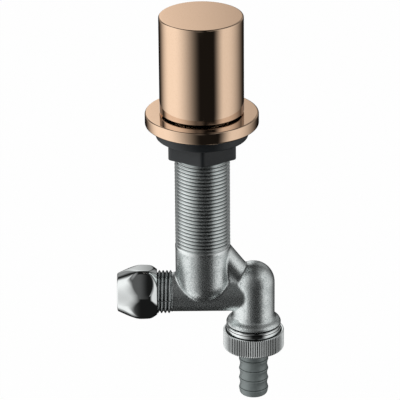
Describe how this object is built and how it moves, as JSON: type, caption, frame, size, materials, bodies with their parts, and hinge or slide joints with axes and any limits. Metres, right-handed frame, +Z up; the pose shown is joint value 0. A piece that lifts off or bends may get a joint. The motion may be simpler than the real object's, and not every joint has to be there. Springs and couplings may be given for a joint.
{
  "type": "kitchen shut-off valve",
  "caption": "Deck-mounted quarter-turn shut-off valve with a round red-gold handle and rosette, long threaded shank, side inlet and barbed hose outlet.",
  "frame": {"origin": "on the shank's axis, in the plane of the worktop, under the rosette", "axes": "+Z up along the shank towards the handle, -X towards the inlet, +X towards the outlet, -Y front"},
  "size_m": [0.0808, 0.054, 0.198],
  "materials": {
    "red_gold": "mirror-polished red-gold plating",
    "black_nylon": "satin",
    "cast_chrome": "dull chrome over a sand-cast skin",
    "bright_chrome": "polished",
    "dull_chrome": "satin",
    "grey_plastic": "moulded",
    "black_rubber": "matt",
    "white_plastic": "moulded",
    "bare_brass": "turned",
    "spring_steel": "drawn",
    "ceramic": "lapped"
  },
  "bodies": {
    "body": {"valve_body": "cast_chrome", "rosette": "red_gold", "deck_seal": "black_rubber", "guide_bush": "white_plastic", "headwork_body": "bare_brass", "headwork_ring": "black_rubber", "fixed_disc": "ceramic", "seat_seal": "black_rubber", "check_housing": "white_plastic", "check_ring": "black_rubber", "check_guide": "white_plastic", "check_spring": "spring_steel"},
    "handle": {"handle_shell": "red_gold", "handle_core": "white_plastic", "handle_adapter": "bare_brass", "adapter_screw": "spring_steel", "friction_ring": "black_rubber", "spindle": "bare_brass", "headwork_stem": "bare_brass", "stem_rings": "black_rubber", "stem_clip": "spring_steel", "moving_disc": "ceramic"},
    "clamp_washer": {"clamp_washer": "black_nylon"},
    "clamp_nut": {"clamp_nut": "black_nylon"},
    "olive": {"olive": "bare_brass"},
    "compression_nut": {"compression_nut": "bright_chrome"},
    "hose_tail": {"hose_tail": "grey_plastic", "tail_washer": "black_rubber"},
    "union_nut": {"union_nut": "dull_chrome"},
    "check_poppet": {"check_poppet": "white_plastic"}
  },
  "joints": [
    {"name": "handle_turn", "type": "hinge", "parent": "body", "child": "handle", "pos_m": [0, 0, 0], "axis": [0, 0, 1], "range_deg": [0, 90]},
    {"name": "clamp_washer_slide", "type": "slide", "parent": "body", "child": "clamp_washer", "axis": [0, 0, -1], "range_m": [0, 0.04]},
    {"name": "clamp_nut_turn", "type": "hinge", "parent": "clamp_washer", "child": "clamp_nut", "pos_m": [0, 0, 0], "axis": [0, 0, -1], "range_deg": [0, 7920]},
    {"name": "olive_slide", "type": "slide", "parent": "body", "child": "olive", "axis": [-1, 0, 0], "range_m": [0, 0.0092]},
    {"name": "compression_nut_turn", "type": "hinge", "parent": "olive", "child": "compression_nut", "pos_m": [0, 0, -0.0883], "axis": [-1, 0, 0], "range_deg": [0, 1800]},
    {"name": "hose_tail_slide", "type": "slide", "parent": "body", "child": "hose_tail", "axis": [0, 0, -1], "range_m": [0, 0.0037]},
    {"name": "union_nut_turn", "type": "hinge", "parent": "hose_tail", "child": "union_nut", "pos_m": [0.0244, 0, 0], "axis": [0, 0, -1], "range_deg": [0, 720]},
    {"name": "check_poppet_slide", "type": "slide", "parent": "body", "child": "check_poppet", "axis": [0, 0, -1], "range_m": [0, 0.0025], "stiffness_N_per_m": 40, "springref_m": -0.003, "deforming": ["check_spring"]}
  ],
  "couplings": [
    {"joint": "clamp_washer_slide", "follows": "clamp_nut_turn", "m_per_rad": 0.00028871},
    {"joint": "olive_slide", "follows": "compression_nut_turn", "m_per_rad": 0.00028871},
    {"joint": "hose_tail_slide", "follows": "union_nut_turn", "m_per_rad": 0.00028871}
  ]
}
